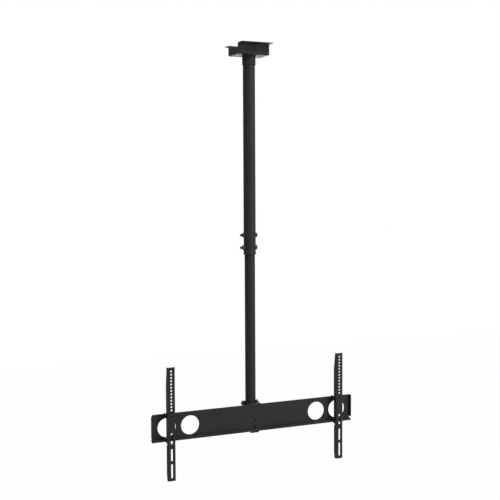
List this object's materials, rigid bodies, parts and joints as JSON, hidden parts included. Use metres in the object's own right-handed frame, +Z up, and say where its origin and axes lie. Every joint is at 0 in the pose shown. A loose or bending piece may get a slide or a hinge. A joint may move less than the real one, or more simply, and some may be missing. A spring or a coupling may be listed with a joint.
{
  "type": "tv ceiling mount",
  "caption": "Black telescopic ceiling mount for a screen: folded ceiling bracket, swivelling mast, tilting rail with round holes and sliding slotted arms.",
  "frame": {"origin": "on the mast's axis in the plane of the ceiling, at the top of the bracket's flanges", "axes": "+Z up along the mast, +X to the right along the rail, screen side facing -Y"},
  "size_m": [0.868, 0.176, 1.6795],
  "materials": {
    "powder_coat": "satin",
    "fastener": "semi-gloss",
    "plastic": "matte"
  },
  "bodies": {
    "ceiling_part": {"ceiling_bracket": "powder_coat", "collar": "powder_coat", "thrust_washer": "plastic"},
    "upper_mast": {"swivel_stem": "powder_coat", "stem_bolt": "fastener", "stem_nut": "fastener", "upper_tube": "powder_coat", "tube_bush": "plastic", "clamp_bosses": "powder_coat", "clamp_nuts": "fastener", "clamp_screws": "fastener"},
    "lower_mast": {"lower_tube": "powder_coat", "guide_ring": "plastic", "tube_plug": "plastic", "pivot_bolt": "fastener", "pivot_nut": "fastener", "pivot_washers": "fastener", "lock_bolt": "fastener", "lock_nut": "fastener", "lock_washers": "fastener"},
    "tilt_head": {"tilt_yoke": "powder_coat", "hook_plate": "powder_coat", "rail": "powder_coat", "rail_screw": "fastener", "rail_screw_washer": "fastener", "rail_screw_nut": "fastener"},
    "left_arm_part": {"left_arm": "powder_coat"},
    "right_arm_part": {"right_arm": "powder_coat"}
  },
  "joints": [
    {"name": "mast_swivel", "type": "hinge", "parent": "ceiling_part", "child": "upper_mast", "pos_m": [0, 0, -0.04], "axis": [0, 0, 1], "range_deg": [-180, 180]},
    {"name": "height_slide", "type": "slide", "parent": "upper_mast", "child": "lower_mast", "axis": [0, 0, 1], "range_m": [0, 0.5]},
    {"name": "rail_tilt", "type": "hinge", "parent": "lower_mast", "child": "tilt_head", "pos_m": [0, 0, -1.4265], "axis": [1, 0, 0], "range_deg": [-5, 15]},
    {"name": "left_arm_slide", "type": "slide", "parent": "tilt_head", "child": "left_arm_part", "axis": [1, 0, 0], "range_m": [-0.05, 0.31]},
    {"name": "right_arm_slide", "type": "slide", "parent": "tilt_head", "child": "right_arm_part", "axis": [1, 0, 0], "range_m": [-0.31, 0.05]}
  ]
}
